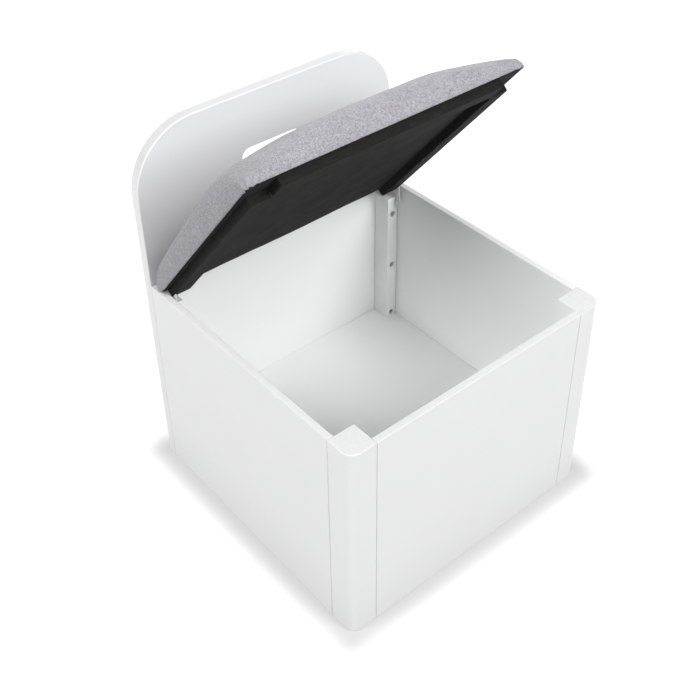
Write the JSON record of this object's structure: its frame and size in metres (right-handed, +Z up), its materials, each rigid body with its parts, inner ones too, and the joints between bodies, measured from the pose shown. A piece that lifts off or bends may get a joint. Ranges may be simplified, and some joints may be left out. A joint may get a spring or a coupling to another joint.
{
  "type": "toy box",
  "caption": "White wooden toy box with rounded front posts, a high back panel with a handle slot, and a padded lid that hinges up to open.",
  "frame": {"origin": "on the floor, under the middle of the object's bounding box", "axes": "+Z is up. -Y is the front and +Y the high back. +X is the right side for someone facing the front, and the lid turns about a line along X."},
  "size_m": [0.405, 0.4, 0.5705],
  "materials": {
    "white_paint": "satin",
    "bare_board": "matte",
    "black_wrap": "matte",
    "grey_weave": "matte",
    "dust_cloth": "matte",
    "foam": "matte",
    "zinc": "satin",
    "steel_white": "satin",
    "brass": "satin",
    "nylon": "matte"
  },
  "bodies": {
    "box": {"back_panel": "white_paint", "floor_panel": "white_paint", "front_left_post": "white_paint", "front_panel": "white_paint", "front_right_post": "white_paint", "hinge_pin_left": "steel_white", "hinge_pin_right": "steel_white", "hinge_washer_left": "nylon", "hinge_washer_right": "nylon", "insert_nut_left_1": "brass", "insert_nut_left_2": "brass", "insert_nut_left_3": "brass", "insert_nut_right_1": "brass", "insert_nut_right_2": "brass", "insert_nut_right_3": "brass", "left_side_panel": "white_paint", "post_bolt_left_1": "zinc", "post_bolt_left_2": "zinc", "post_bolt_left_3": "zinc", "post_bolt_right_1": "zinc", "post_bolt_right_2": "zinc", "post_bolt_right_3": "zinc", "rear_left_post": "white_paint", "rear_right_post": "white_paint", "right_side_panel": "white_paint"},
    "lid": {"arm_screw_left_1": "zinc", "arm_screw_left_2": "zinc", "arm_screw_right_1": "zinc", "arm_screw_right_2": "zinc", "hinge_arm_left": "steel_white", "hinge_arm_right": "steel_white", "lid_board": "bare_board", "lid_cover": "grey_weave", "lid_dust_cover": "dust_cloth", "lid_foam": "foam", "lid_front_rail": "black_wrap", "lid_left_rail": "black_wrap", "lid_right_rail": "black_wrap"}
  },
  "joints": [
    {"name": "lid_hinge", "type": "hinge", "parent": "box", "child": "lid", "pos_m": [0, 0.1508, 0.274], "axis": [-1, 0, 0], "range_deg": [-50.5, 0]}
  ]
}
